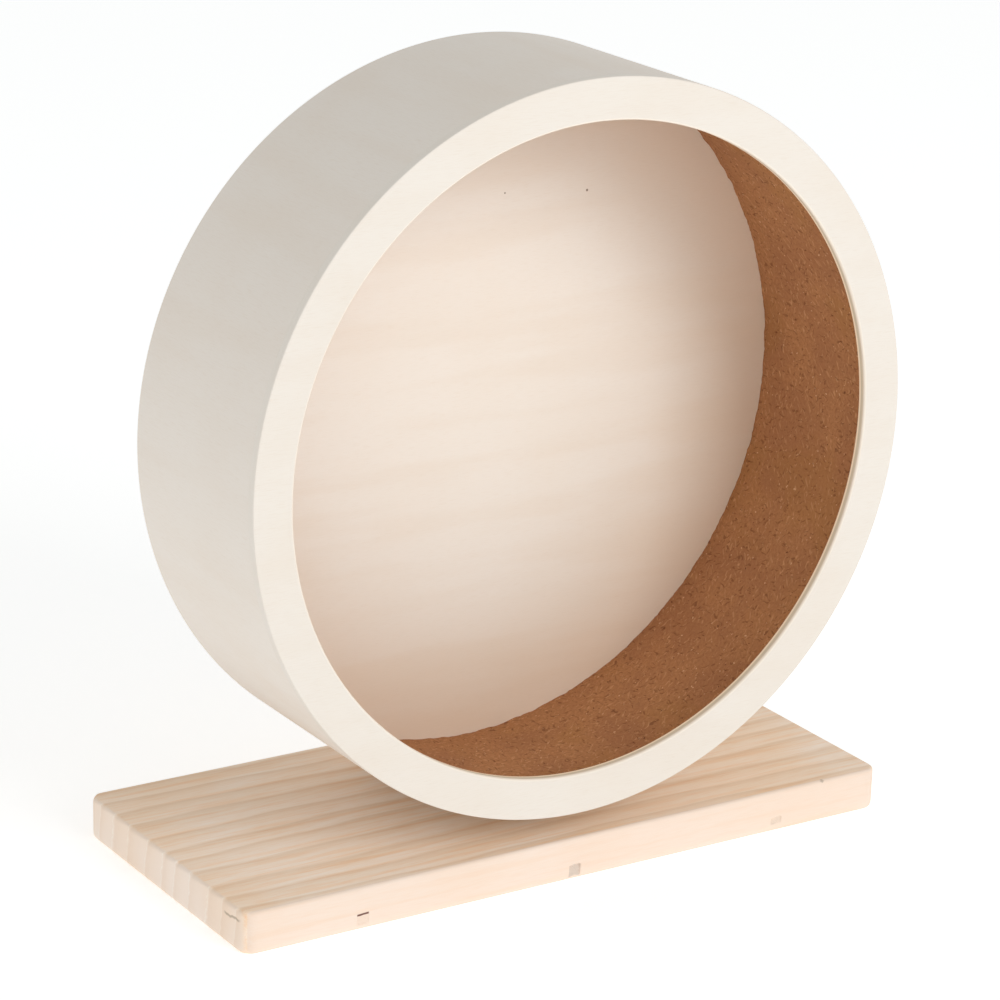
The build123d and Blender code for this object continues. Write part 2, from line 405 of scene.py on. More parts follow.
def pine_finish(name, across, along, depth, end_of_grain, marks=None):
    """Sanded pine. The axis numbers say which way the board lies: growth rings run across it,
    pale early wood darkens slowly to a soft tan line and turns pale again at once, fine fibres
    and longer streaks run along it, and wide clouds shift its colour. The sawn end, past the
    distance end_of_grain, is paler and has no fibres. marks paints marks and painted shade on top."""
    early, middle, late, line = (srgb(252, 238, 225), srgb(251, 236, 222), srgb(247, 229, 211),
                                 srgb(239, 217, 195))
    material, shader, place = new_finish(name)
    axes = [place.part(0), place.part(1), place.part(2)]
    fibres = place.stretched([0.045 if axis == along else 1.0 for axis in range(3)])
    fine = fibres.noise(2600, 3, 0.6)
    streak = fibres.noise(330, 3, 0.55)
    cloud = place.noise(13, 2)
    phase = wood_rings(axes[across], axes[along], axes[depth], Wire.sine)
    ring = (phase + 0.3 * (streak - 0.5)).fraction()
    colour = ring.ramp((0.0, early), (0.3, middle), (0.6, late), (0.86, line), (1.0, early))
    cut_end = axes[along].size().rise(end_of_grain - 1.6 * mm, end_of_grain - 0.4 * mm)
    colour = (0.6 * cut_end).blend(colour, srgb(240, 226, 216))
    colour = (0.5 * cut_end * ring.rise(0.93, 1.0)).blend(colour, srgb(255, 250, 243))
    fibre_share = 0.5 * (1 - cut_end) * fine.rise(0.4, 0.75)
    streak_share = 0.7 * (1 - cut_end) * streak.rise(0.45, 0.7)
    colour = fibre_share.blend(colour, srgb(249, 228, 205), "MULTIPLY")
    colour = streak_share.blend(colour, srgb(252, 235, 214), "MULTIPLY")
    colour = (0.6 * cloud.rise(0.35, 0.7)).blend(colour, srgb(253, 238, 219), "MULTIPLY")
    if marks:
        colour = marks(axes, colour)
    feed(shader, "Base Color", colour)
    feed(shader, "Roughness", 0.52 + 0.16 * fine)
    feed(shader, "Normal", relief(0.6 * fine + 0.4 * ring.rise(0.5, 0.9), 0.05 * mm, 0.4))
    shader.inputs["Specular IOR Level"].default_value = 0.35
    return material


split_y, split_z = -57 * mm, 13.2 * mm
dent_x, dent_z = 123 * mm, 17.6 * mm


def base_marks_and_front_shade(axes, wood):
    """Paints the board's small marks over the wood's colour: a split that runs slanting along the
    left end, a plainer front face darkened by painted shade against the front lamp, its own tone
    in each torn mark and a dark line over the first, and a small dent."""
    x, y, z = axes
    wander = (y * (1 / (1.3 * mm))).sine() * (0.25 * mm)
    wander = wander + (y * (1 / (0.5 * mm))).sine() * (0.12 * mm)
    split = 1 - (z - split_z + 0.1 * (y - split_y) + wander).size().rise(0.2 * mm, 0.8 * mm)
    split = split * (1 - (y - split_y).size().rise(4.5 * mm, 7 * mm))
    split = split * (0 - x).rise(150.5 * mm, 152 * mm)
    wood = (0.6 * split).blend(wood, srgb(146, 126, 100))
    front = (0 - y).rise(65.5 * mm, 66.0 * mm)
    # Painted shade: a darker tone laid over the front face to take down the front lamp's light
    # there.
    wood = (0.7 * front).blend(wood, srgb(236, 216, 201))
    uneven = (x * (1 / (0.9 * mm))).sine() * (0.3 * mm)
    for place, foot, tone, strength in zip(tear_places, tear_feet, tear_tones, tear_strengths):
        beside = 1 - (x - place - 0.12 * z + 0.5 * mm).size().rise(2.2 * mm, 3.0 * mm)
        height = z - tear_slope * (x - place) + uneven
        inside = beside * (1 - height.rise(tear_top - 0.4 * mm, tear_top + 0.2 * mm))
        inside = inside * height.rise(foot - 0.6 * mm, foot + 0.2 * mm)
        wood = (strength * inside * front).blend(wood, srgb(*tone))
    from_first = x - tear_places[0]
    over = (z - tear_top - 0.1 * mm - tear_slope * from_first).size().rise(0.3 * mm, 0.6 * mm)
    line = (1 - over) * (1 - from_first.size().rise(tear_half, tear_half + 0.4 * mm)) * front
    wood = (0.95 * line).blend(wood, srgb(100, 54, 42))
    dent = (x - dent_x).size() + 1.5 * (z - dent_z).size()
    return (0.55 * (1 - dent.rise(0.4 * mm, 1.6 * mm)) * front).blend(wood, srgb(150, 132, 112))


wear(base, pine_finish("base_pine", 1, 0, 2, base_high.x, base_marks_and_front_shade))


# Upright board
# A second length of the same pine, with its grain standing up and a half-round top about the axle.
# Glued and dowelled on the base board, screwed from below, and bored for two ball bearings.

upright_half = upright_high.x
upright_foot = axle_z - upright_low.z
upright_ease = 2.0 * mm
bore_radius = 11.02 * mm
lip = 0.25 * mm
no_sawn_end = 9.0


def upright_mesh():
    """Closed skin between the board's outline and its bore. Both are read at the same directions
    from the axle: the outline is a half circle above and a rectangle below it. A loop of sections
    runs from the bore's front edge over the eased outer edges to the back and through the bore."""
    corner = math.atan2(upright_foot, upright_half)
    directions = np.concatenate([
        np.linspace(0, math.pi, 73)[:-1],
        math.pi + np.linspace(0, corner, 40)[:-1],
        np.linspace(math.pi + corner, 2 * math.pi - corner, 12)[:-1],
        2 * math.pi - np.linspace(0, corner, 40)[:0:-1]])
    cosine, sine = np.cos(directions), np.sin(directions)
    reach = np.where(sine >= 0, upright_half,
                     np.minimum(upright_half / np.maximum(np.abs(cosine), 1e-9),
                                upright_foot / np.maximum(np.abs(sine), 1e-9)))
    outer = np.stack([reach * cosine, reach * sine], 1)
    inner = bore_radius * np.stack([cosine, sine], 1)
    front, back = upright_low.y, upright_high.y
    margin = upright_ease + 0.5 * mm

    def ring(inset, share, y):
        shrink = (upright_half - inset) / upright_half
        x = outer[:, 0] * shrink
        z = np.where(outer[:, 1] > 0, outer[:, 1] * shrink, outer[:, 1])
        edge = np.stack([x, z], 1)
        start = inner * (bore_radius + lip) / bore_radius
        at = start + (edge - start) * share
        return np.column_stack([at[:, 0], np.full(len(at), y), at[:, 1] + axle_z])

    def bore(radius, y):
        at = inner * radius / bore_radius
        return np.column_stack([at[:, 0], np.full(len(at), y), at[:, 1] + axle_z])

    over = [(upright_ease * (1 - math.sin(a)), upright_ease * (1 - math.cos(a))) for a in quarter]
    shares = (0, 0.03, 0.3, 0.6, 0.9)
    rows = [bore(bore_radius, front + lip)]
    rows += [ring(upright_ease, share, front) for share in shares]
    rows += [ring(margin, 1, front)]
    rows += [ring(inset, 1, front + rise) for inset, rise in over]
    rows += [ring(0, 1, front + upright_ease + step * mm) for step in (0.5, 7, 13.5)]
    rows += [ring(rise, 1, back - inset) for inset, rise in over]
    rows += [ring(margin, 1, back)]
    rows += [ring(upright_ease, share, back) for share in shares[::-1]]
    rows += [bore(bore_radius, y) for y in (back - lip, post_y, front + lip)]
    return skin("upright_board_skin", np.array(rows))


upright = upright_mesh()
drill(upright, [post_mesh("bar", x, [(dowel_hole, dowel_foot), (dowel_hole, dowel_top)])
                for x in dowel_places]
      + [post_mesh("bar", x, [(screw_hole, dowel_foot), (screw_hole, screw_tip + 0.02 * mm)])
         for x in screw_places])
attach(upright, "stand")
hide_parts("upright_board")
wear(upright, pine_finish("upright_pine", 0, 2, 1, no_sawn_end))


# Dowels and screws under the upright
# Two fluted beech dowels and two zinc-plated pan-head wood screws with a cross recess.
# The dowels are glued half in the base and half in the upright; the screws pull both together.

dowel_wood, dowel_shader, dowel_place = new_finish("dowel_beech")
dowel_grain = dowel_place.stretched((1, 1, 0.06)).noise(3000, 3, 0.6)
dowel_colour = dowel_grain.ramp((0.3, srgb(212, 176, 136)), (0.7, srgb(184, 142, 102)))
feed(dowel_shader, "Base Color", dowel_colour)
feed(dowel_shader, "Roughness", 0.5 + 0.2 * dowel_grain)
feed(dowel_shader, "Normal", relief(dowel_grain, 0.05 * mm, 0.5))
wear(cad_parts["base_dowels"], dowel_wood)


def zinc_finish():
    """Bright zinc plate: a cool grey metal with faint yellow and blue clouds and fine scratches."""
    material, shader, place = new_finish("zinc_plate")
    cloud = place.noise(260, 3)
    scratch = place.stretched((1, 0.15, 1)).noise(9000, 2, 0.7)
    colour = cloud.ramp((0.3, srgb(196, 200, 206)), (0.55, srgb(212, 212, 208)),
                        (0.75, srgb(206, 200, 186)))
    feed(shader, "Base Color", colour)
    shader.inputs["Metallic"].default_value = 1.0
    feed(shader, "Roughness", 0.26 + 0.2 * scratch)
    feed(shader, "Normal", relief(scratch, 0.01 * mm, 0.4))
    return material


zinc = zinc_finish()


head_foot, head_radius, dome_rise = 0.4 * mm, 4.5 * mm, 0.9 * mm
plain_radius, root_radius, ridge_rise = 2.2 * mm, 1.5 * mm, 0.74 * mm
screw_pitch, screw_step, thread_foot = 2.0 * mm, 0.3 * mm, 18 * mm
point_length = 4 * mm


def screw_mesh(x):
    """Grid of circles from the head's middle to the point. The head is a flat dome with a cross
    recess, two crossed slots that are deepest in the middle; the shank's radius carries a thread
    ridge that climbs one pitch a turn; the last stretch narrows to the point."""
    angle = np.linspace(0, 2 * math.pi, 72, endpoint=False)
    head = np.concatenate([np.linspace(0, 2.6, 20), [3.2, 3.8, 4.2, 4.4, 4.48]]) * mm
    dome = head_foot + dome_rise * (head / head_radius) ** 4
    rows = []

    def circle(radius, level):
        rows.append(np.column_stack([x + radius * np.cos(angle), post_y + radius * np.sin(angle),
                                     level + np.zeros_like(angle)]))

    for radius, height in zip(head, dome):
        across, beside = np.abs(radius * np.cos(angle)), np.abs(radius * np.sin(angle))
        slot = 1 - smooth_step(np.minimum(across, beside), 0.35 * mm, 0.5 * mm)
        slot = slot * (1 - smooth_step(radius, 2.0 * mm, 2.35 * mm))
        circle(radius, height + slot * (1.5 * mm - 0.3 * radius))
    for radius, height in ((head_radius, 1.6 * mm), (head_radius, screw_seat - 0.1 * mm),
                           (head_radius - 0.1 * mm, screw_seat), (2.3 * mm, screw_seat)):
        circle(radius, height)
    for height in np.arange(screw_seat + screw_step, screw_tip, screw_step):
        turn_share = (height / screw_pitch - angle / (2 * math.pi)) % 1
        ridge = np.maximum(0, 1 - np.abs(turn_share - 0.5) / 0.22)
        threaded = height > thread_foot
        core = root_radius if threaded else plain_radius
        taper = min(1, (screw_tip - height) / point_length) ** 0.7
        circle((core + ridge * (ridge_rise if threaded else 0)) * taper, height)
    circle(0, screw_tip)
    return skin("base_screw", np.array(rows), fold=40)


for count, x in enumerate(screw_places):
    screw = screw_mesh(x)
    screw.name = f"base_screw_{count + 1}"
    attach(screw, "stand")
    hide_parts("base_screws")
    wear(screw, zinc)


# Ball bearings
# Two open deep groove bearings, each a ground outer and inner ring with a race, seven balls and
# a moulded nylon cage. The outer rings are pressed into the upright, flush with its faces.


def turned(name, outline, count=128, start=0.0, sweep=2 * math.pi, closed=True):
    """Skin turned about the axle from an outline of (radius, y) points, which is closed unless it
    starts and ends on the axle. A full turn closes on itself; a shorter sweep has its ends closed
    by fans from the outline's middle."""
    outline = np.array(outline, float)
    whole = abs(sweep - 2 * math.pi) < 1e-9
    angle = start + np.linspace(0, sweep, count, endpoint=not whole)
    profile = np.vstack([outline, outline[:1]]) if closed else outline
    grid = np.empty((len(profile), len(angle), 3))
    grid[..., 0] = profile[:, :1] * np.cos(angle)
    grid[..., 1] = profile[:, 1:]
    grid[..., 2] = profile[:, :1] * np.sin(angle) + axle_z
    if not whole:
        grid = closed_ends(grid)
    return skin(name, grid, around=whole)


def closed_ends(grid):
    """The grid with one more column at each end, where every row is at the end's middle."""
    ends = [np.tile(grid[:-1, side].mean(axis=0), (len(grid), 1))[:, None] for side in (0, -1)]
    return np.concatenate([ends[0], grid, ends[1]], axis=1)


def eased(corners, ease, steps=3):
    """Closed outline of (radius, y) corners with every corner rounded by its own arc: each arc is
    read between the two points at the ease distance, with one support point beside each end."""
    corners = np.array(corners, float)
    ease = np.broadcast_to(ease, len(corners))
    points = []
    for index, corner in enumerate(corners):
        size = ease[index]
        if size == 0:
            points.append(corner)
            continue
        before = corners[index - 1] - corner
        after = corners[(index + 1) % len(corners)] - corner
        room_before, room_after = np.linalg.norm(before), np.linalg.norm(after)
        before, after = before / room_before, after / room_after
        if room_before > 3.2 * size:
            points.append(corner + before * 1.5 * size)
        share = np.linspace(0, 1, steps + 1)[:, None]
        points.extend(corner + size * (before * (1 - share) ** 2 + after * share ** 2))
        if room_after > 3.2 * size:
            points.append(corner + after * 1.5 * size)
    return np.array(points)


def steel_finish():
    """Ground bearing steel: bright metal with fine turning lines round the axle."""
    material, shader, place = new_finish("bearing_steel")
    lines = place.noise(14000, 2, 0.7)
    colour = place.noise(300, 2).ramp((0.3, srgb(200, 202, 206)), (0.7, srgb(214, 214, 214)))
    feed(shader, "Base Color", colour)
    shader.inputs["Metallic"].default_value = 1.0
    feed(shader, "Roughness", 0.14 + 0.14 * lines)
    feed(shader, "Normal", relief(lines, 0.004 * mm, 0.4))
    return material


def nylon_finish():
    """Natural nylon: off-white, slightly waxy, with a faint cloud from the moulding."""
    material, shader, place = new_finish("cage_nylon")
    cloud = place.noise(500, 3)
    colour = cloud.ramp((0.3, srgb(226, 220, 204)), (0.7, srgb(236, 231, 218)))
    feed(shader, "Base Color", colour)
    feed(shader, "Roughness", 0.38 + 0.14 * cloud)
    feed(shader, "Normal", relief(place.noise(2500, 2), 0.01 * mm, 0.4))
    shader.inputs["Subsurface Weight"].default_value = 0.1
    return material


bearing_steel = steel_finish()
cage_nylon = nylon_finish()
ball_radius = 3.969 / 2 * mm
pitch_radius = 7.5 * mm
ball_count = 7
race_width = 7 * mm
outer_rim, outer_shoulder = 11 * mm, 9 * mm
inner_rim, inner_shoulder = 4 * mm, 6.05 * mm
race_ease = 0.3 * mm


def race_ring(name, rim, shoulder, y):
    """Bearing ring: a square section with eased corners, whose shoulder dips by an arc of the
    ball's own curve at the middle. side is 1 where the race opens inwards."""
    side = 1 if rim > shoulder else -1
    half = race_width / 2
    reach = ball_radius * 1.03
    span = math.acos(min(1, abs(shoulder - pitch_radius) / reach))
    groove = [(pitch_radius + side * reach * math.cos(a), y - side * reach * math.sin(a))
              for a in np.linspace(-span, span, 13)]
    shell = [(shoulder, y - side * half), (rim, y - side * half), (rim, y + side * half),
             (shoulder, y + side * half)]
    return turned(name, list(eased(shell, race_ease)) + groove, 96)


def ball_set(name, y):
    """Seven spheres on the pitch circle, each a grid of latitudes and longitudes."""
    latitude = np.linspace(-math.pi / 2, math.pi / 2, 17)[:, None]
    longitude = np.linspace(0, 2 * math.pi, 32, endpoint=False)
    unit = np.stack([np.cos(latitude) * np.cos(longitude), np.cos(latitude) * np.sin(longitude),
                     np.sin(latitude) + np.zeros_like(longitude)], -1)
    work = bmesh.new()
    for index in range(ball_count):
        angle = -2 * math.pi / ball_count * (index + 0.5)
        centre = np.array([pitch_radius * math.cos(angle), y,
                           pitch_radius * math.sin(angle) + axle_z])
        one = skin("ball", unit * ball_radius + centre)
        work.from_mesh(one.data)
        bpy.data.objects.remove(one)
    mesh = bpy.data.meshes.new(name)
    work.to_mesh(mesh)
    work.free()
    mesh.shade_smooth()
    return shown(name, mesh)


for place_name in ("front", "rear"):
    low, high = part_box(f"{place_name}_bearing_outer_ring")
    middle = (low.y + high.y) / 2
    outer = race_ring(f"{place_name}_outer_ring", outer_rim, outer_shoulder, middle)
    inner = race_ring(f"{place_name}_inner_ring", inner_rim, inner_shoulder, middle)
    balls = ball_set(f"{place_name}_balls", middle)
    for piece, body, node in ((outer, "stand", "outer_ring"), (inner, "wheel", "inner_ring"),
                              (balls, f"{place_name}_cage", "balls")):
        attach(piece, body)
        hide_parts(f"{place_name}_bearing_{node}")
        wear(piece, bearing_steel)
    wear(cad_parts[f"{place_name}_bearing_cage"], cage_nylon)


# Axle bolt, washers, nuts and spacer
# A zinc-plated M8 hexagon bolt screwed from behind through both bearings, with a spring washer
# and a flat washer under its head, into a lock nut against the hub and a tee nut inside it.


hex_angles = np.linspace(0, 2 * math.pi, 96, endpoint=False)


def hex_ring(share, flats, y_flat, way):
    """Ring at a share of a hexagon with two corners level with its middle, pushed back by a 30
    degree cone outside 0.95 of the flats. way is 1 where the cone faces backwards, -1 where it
    faces the front and 0 for no cone."""
    reach = share * flats / 2 / np.cos(hex_angles % (math.pi / 3) - math.pi / 6)
    drop = np.maximum(0, reach - 0.95 * flats / 2) * math.tan(math.radians(30))
    return np.column_stack([reach * np.cos(hex_angles), y_flat - way * drop,
                            axle_z + reach * np.sin(hex_angles)])


def round_ring(radius, y):
    """Circle, or a closed curve where radius holds one value for each direction."""
    return np.column_stack([radius * np.cos(hex_angles), np.full_like(hex_angles, y),
                            axle_z + radius * np.sin(hex_angles)])


bolt_low, bolt_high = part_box("axle_bolt")
head_front = bolt_high.y - 5.3 * mm
flats = 13 * mm
rim_shares = (0.84, 0.88, 0.92, 0.96, 1)
bolt_rows = [hex_ring(share, flats, bolt_high.y, 1) for share in (0, 0.4, 0.7, 0.8) + rim_shares]
bolt_rows += [hex_ring(1, flats, head_front + lift * mm, 0) for lift in (0.5, 0.35)]
bolt_rows += [round_ring(radius * mm, head_front + lift * mm) for radius, lift in
              ((6.4, 0.3), (6.1, 0.3), (6.0, 0.0), (4.6, 0.0), (4.2, 0.0), (4.0, -0.2))]
bolt_radius = 4 * mm
thread_start = head_front - 22 * mm
thread_pitch, thread_cut, thread_step = 1.25 * mm, 0.62 * mm, 0.156 * mm
bolt_rows.append(round_ring(bolt_radius, thread_start))
for y in np.arange(thread_start - 0.15 * mm, bolt_low.y + 0.9 * mm, -thread_step):
    turn_share = (y / thread_pitch - hex_angles / (2 * math.pi)) % 1
    cut = np.abs(turn_share - 0.5) * 2 * smooth_step(thread_start - y, 0, 1.5 * mm)
    bolt_rows.append(round_ring(bolt_radius - 0.02 * mm - thread_cut * cut, y))
bolt_rows += [round_ring(3.2 * mm, bolt_low.y), round_ring(0, bolt_low.y)]
bolt = skin("axle_bolt_skin", np.array(bolt_rows), fold=28)

nut_low, nut_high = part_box("lock_nut")
nut_bore, nut_mouth = 4.03 * mm, 4.5 * mm
nut_shares = (0.78,) + rim_shares
nut_rows = [round_ring(nut_bore, nut_low.y + 0.5 * mm), round_ring(nut_mouth, nut_low.y)]
nut_rows += [hex_ring(share, flats, nut_low.y, -1) for share in nut_shares]
nut_rows += [hex_ring(share, flats, nut_high.y, 1) for share in nut_shares[::-1]]
nut_rows += [round_ring(nut_mouth, nut_high.y), round_ring(nut_bore, nut_high.y - 0.5 * mm),
             round_ring(nut_bore, nut_low.y + 0.5 * mm)]
nut = skin("lock_nut_skin", np.array(nut_rows), fold=28)

washer_bore = 4.1 * mm
split_half = 0.8 / 5.75


def tube(node, outer, ease):
    """Outline of a washer or tube that clears the bolt, as long as the node's own solid."""
    low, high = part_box(node)
    return eased([(washer_bore, low.y), (outer, low.y), (outer, high.y), (washer_bore, high.y)],
                 ease)


flat_washer = turned("head_washer_skin", tube("head_washer", 8 * mm, 0.22 * mm), 96)
spring = turned("spring_washer_skin", tube("spring_washer", 7.4 * mm, 0.2 * mm), 90,
                math.pi / 2 + split_half, 2 * math.pi - 2 * split_half)
spacer = turned("bearing_spacer_skin", tube("bearing_spacer", 5.5 * mm, 0.2 * mm), 96)

for piece, node in ((bolt, "axle_bolt"), (nut, "lock_nut"), (flat_washer, "head_washer"),
                    (spring, "spring_washer"), (spacer, "bearing_spacer")):
    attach(piece, "wheel")
    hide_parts(node)
    wear(piece, zinc)
wear(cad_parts["tee_nut"], zinc)


# Hub block
# A round birch plywood block, 10 mm thick, glued to the back of the rear disc.
# It holds the tee nut, and its edge shows the plies.

hub_low, hub_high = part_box("hub_block")
hub_radius, hub_bore = 35 * mm, 5.52 * mm
flange_radius, flange_depth = 11.1 * mm, 1.5 * mm
ply_pairs = 3.5
no_tint = (255, 255, 255)


def birch_finish(name, plies=None, figure=0.3, along=0, tint=no_tint):
    """Sanded birch plywood: a pale face with a faint wavy figure and fine short pores along the
    grain. plies gives, from the axes' wires, the colour of the cut edges and marks, and on the
    disc also a painted rim shade, with the share of it that shows. tint shades the whole face."""
    material, shader, place = new_finish(name)
    x, y, z = place.part(0), place.part(1), place.part(2)
    fibres = place.stretched([0.06 if axis == along else 1.0 for axis in range(3)])
    waves = place.stretched([0.13 if axis == along else 1.0 for axis in range(3)])
    fine = fibres.noise(3200, 3, 0.6)
    wave = waves.noise(75, 3, 0.45)
    cloud = place.noise(16, 2)
    pale, figured = srgb(249, 240, 229), srgb(238, 218, 196)
    face = (figure * wave.rise(0.42, 0.68)).blend(pale, figured)
    face = (0.3 * cloud.rise(0.4, 0.7)).blend(face, srgb(245, 231, 215))
    face = (0.3 * fine.rise(0.45, 0.8)).blend(face, srgb(236, 219, 200))
    if tint != no_tint:
        face = face.node("ShaderNodeMix", {"data_type": "RGBA", "blend_type": "MULTIPLY"},
                         {0: 1.0, 6: face, 7: srgb(*tint)}, 2)
    if plies:
        edge_colour, share = plies(x, y, z)
        face = share.blend(face, edge_colour)
    feed(shader, "Base Color", face)
    feed(shader, "Roughness", 0.48 + 0.18 * fine)
    feed(shader, "Normal", relief(fine, 0.03 * mm, 0.35))
    shader.inputs["Specular IOR Level"].default_value = 0.35
    return material


def away_from_axle(x, z):
    """Distance from the axle, as a wire."""
    square = x * x + (z - axle_z) * (z - axle_z)
    return square.maths("POWER", square, 0.5)


def joined(x, y, z):
    """Vector wire from its three parts."""
    return x.node("ShaderNodeCombineXYZ", {}, {0: x, 1: y, 2: z})


def hub_plies(x, y, z):
    """Seven plies, light and dark in turn, seen on the block's round edge."""
    light, dark = srgb(232, 214, 188), srgb(196, 164, 128)
    layer = ((y - hub_low.y) * (ply_pairs / (hub_high.y - hub_low.y))).fraction()
    layer = layer + 0.12 * (joined(x, y, z).noise(900, 3) - 0.5)
    colour = layer.ramp((0.0, light), (0.47, light), (0.53, dark), (0.95, dark), (1.0, light))
    return colour, away_from_axle(x, z).rise(hub_radius - 0.8 * mm, hub_radius - 0.2 * mm)


hub_eases = [0, 0, 0, 0.3 * mm, 1.0 * mm, 0.2 * mm]
flange_rear = hub_low.y + flange_depth
hub_outline = eased([(hub_bore, flange_rear), (flange_radius, flange_rear),
                     (flange_radius, hub_low.y), (hub_radius, hub_low.y),
                     (hub_radius, hub_high.y), (hub_bore, hub_high.y)], hub_eases)
hub = turned("hub_block_skin", hub_outline)
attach(hub, "wheel")
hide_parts("hub_block")
wear(hub, birch_finish("hub_birch", hub_plies, 0.5))


# Rear disc
# A birch plywood disc, 5 mm thick, that closes the back of the drum.
# It is let into the wall and glued all round, with its face grain level.

disc_low, disc_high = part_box("rear_disc")
disc_radius = disc_high.x
drum_radius = 150 * mm
disc_ease = 0.3 * mm
knot_places = ((53.1 * mm, 260.5 * mm, 0.7 * mm), (13.3 * mm, 263.5 * mm, 0.5 * mm))
disc_outline = eased([(0, disc_low.y), (disc_radius, disc_low.y), (disc_radius, disc_high.y),
                      (0, disc_high.y)], [0, disc_ease, disc_ease, 0])
face_steps = [(share * disc_radius, disc_low.y) for share in (0.25, 0.5, 0.75, 0.95)]
disc_points = [disc_outline[0]] + face_steps + list(disc_outline[1:-1])
disc_points += [(radius, disc_high.y) for radius, _ in face_steps[::-1]] + [disc_outline[-1]]
disc = turned("rear_disc_skin", disc_points, 240, closed=False)
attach(disc, "wheel")
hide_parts("rear_disc")


def disc_knots_and_rim_shade(x, y, z):
    """Two pin knots on the disc's front, and a warm, darker tone towards its rim, which is painted
    shade from the dark cork lining round it."""
    knots = 0
    for knot_x, knot_z, radius in knot_places:
        square = (x - knot_x) * (x - knot_x) + (z - knot_z) * (z - knot_z)
        knots = knots + (1 - square.rise((0.5 * radius) ** 2, radius ** 2))
    # Painted shade: a warm, darker tone that grows from 70 mm out to the rim, where the cork lining
    # shades the disc.
    rim = away_from_axle(x, z).rise(70 * mm, drum_radius)
    tone = knots.blend(srgb(236, 206, 170), srgb(120, 92, 70))
    return tone, 0.42 * rim + 0.7 * knots


wear(disc, birch_finish("disc_birch", disc_knots_and_rim_shade, 0.22))


# Drum wall
# A strip of 2 mm birch plywood bent to a hoop, its two ends butted and glued at the lower right.
# Its face grain runs along the axle so that it bends; the ring is glued on its front edge.

wall_low, wall_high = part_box("drum_wall")
wall_inner = 148 * mm
wall_ease = 0.15 * mm
butt_half = 0.2 * mm
wall_seam = math.radians(-40)
ring_low, ring_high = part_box("front_ring")


def strip_outline(inner, outer, low, high, steps, ease):
    """Rectangle of (radius, y) with eased corners and more points along its two long sides."""
    along = np.linspace(low + 2 * ease, high - 2 * ease, steps)
    rounded = eased([(inner, high), (inner, low), (outer, low), (outer, high)], ease)
    inside = [p for p in rounded if p[0] < (inner + outer) / 2]
    outside = [p for p in rounded if p[0] >= (inner + outer) / 2]
    middle = (low + high) / 2
    front = [p for p in inside if p[1] < middle] + [p for p in outside if p[1] < middle]
    rear = [p for p in outside if p[1] >= middle] + [p for p in inside if p[1] >= middle]
    return (front + [(outer, y) for y in along[1:-1]]
            + rear + [(inner, y) for y in along[1:-1][::-1]])


def wall_plies(x, y, z):
    """Three plies by their distance from the axle, seen on the wall's rear edge."""
    radius = away_from_axle(x, z)
    layer = (radius - wall_inner) * (1 / (drum_radius - wall_inner))
    light, dark = srgb(236, 220, 198), srgb(206, 178, 146)
    colour = layer.ramp((0.0, light), (0.3, light), (0.36, dark), (0.64, dark), (0.7, light))
    return colour, y.rise(wall_high.y - 0.25 * mm, wall_high.y - 0.05 * mm)


seam_half = butt_half / drum_radius
wall_outline = strip_outline(wall_inner, drum_radius, wall_low.y, wall_high.y, 24, wall_ease)
wall = turned("drum_wall_skin", wall_outline, 360, wall_seam + seam_half,
              2 * math.pi - 2 * seam_half)
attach(wall, "wheel")
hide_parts("drum_wall")
wear(wall, birch_finish("wall_birch", wall_plies, 0.12, 1, (238, 238, 239)))


# Front ring
# A flat birch plywood ring, 4 mm thick, glued on the wall's front edge as a lip.
# Its hole is eased at the front and shows the plies: two pale faces and a darker core.

hole, ring_middle = 133 * mm, 141 * mm
hole_ease, rim_ease = 1 * mm, 0.5 * mm


def ring_plies(x, y, z):
    """Two pale face plies and a grey-tan core, seen on the edge of the ring's hole."""
    face, light, dark = srgb(248, 238, 224), srgb(255, 236, 208), srgb(220, 207, 184)
    layer = (y - ring_low.y) * (1 / (ring_high.y - ring_low.y))
    colour = layer.ramp((0.0, face), (0.22, face), (0.42, dark), (0.7, dark), (0.75, light))
    return colour, 1 - away_from_axle(x, z).rise(hole + 0.3 * mm, hole + hole_ease)


ring_front, ring_rear = ring_low.y, ring_high.y
ring_outline = [(hole, ring_rear - 0.1 * mm), (hole, ring_front + 2.2 * mm),
                (hole, ring_front + 1.4 * mm)]
ring_outline += [(hole + hole_ease * (1 - math.cos(a)), ring_front + hole_ease * (1 - math.sin(a)))
                 for a in quarter]
ring_outline += [(hole + 1.5 * mm, ring_front), (ring_middle, ring_front),
                 (drum_radius - 0.9 * mm, ring_front)]
ring_outline += [(drum_radius - rim_ease * (1 - math.sin(a)),
                  ring_front + rim_ease * (1 - math.cos(a))) for a in quarter]
ring_outline += [(drum_radius, ring_front + 0.9 * mm), (drum_radius, ring_rear - 0.05 * mm),
                 (drum_radius - 0.05 * mm, ring_rear), (ring_middle, ring_rear),
                 (hole + 0.1 * mm, ring_rear)]
ring = turned("front_ring_skin", ring_outline, 360)
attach(ring, "wheel")
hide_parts("front_ring")
wear(ring, birch_finish("ring_birch", ring_plies, 0.1, 0, (236, 237, 238)))


# Cork lining
# A strip of granulated cork, 1 mm thick, glued inside the wall as the running surface.
# Its ends meet at the upper left, and its rear edge is cut by hand against the disc.

cork_low, cork_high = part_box("cork_lining")
cork_inner, cork_outer = 146.9 * mm, 147.9 * mm
cork_seam = math.radians(160)
pattern_lean = math.radians(20)
chip_spacing, deepest_chip = 2.5, 0.85 * mm


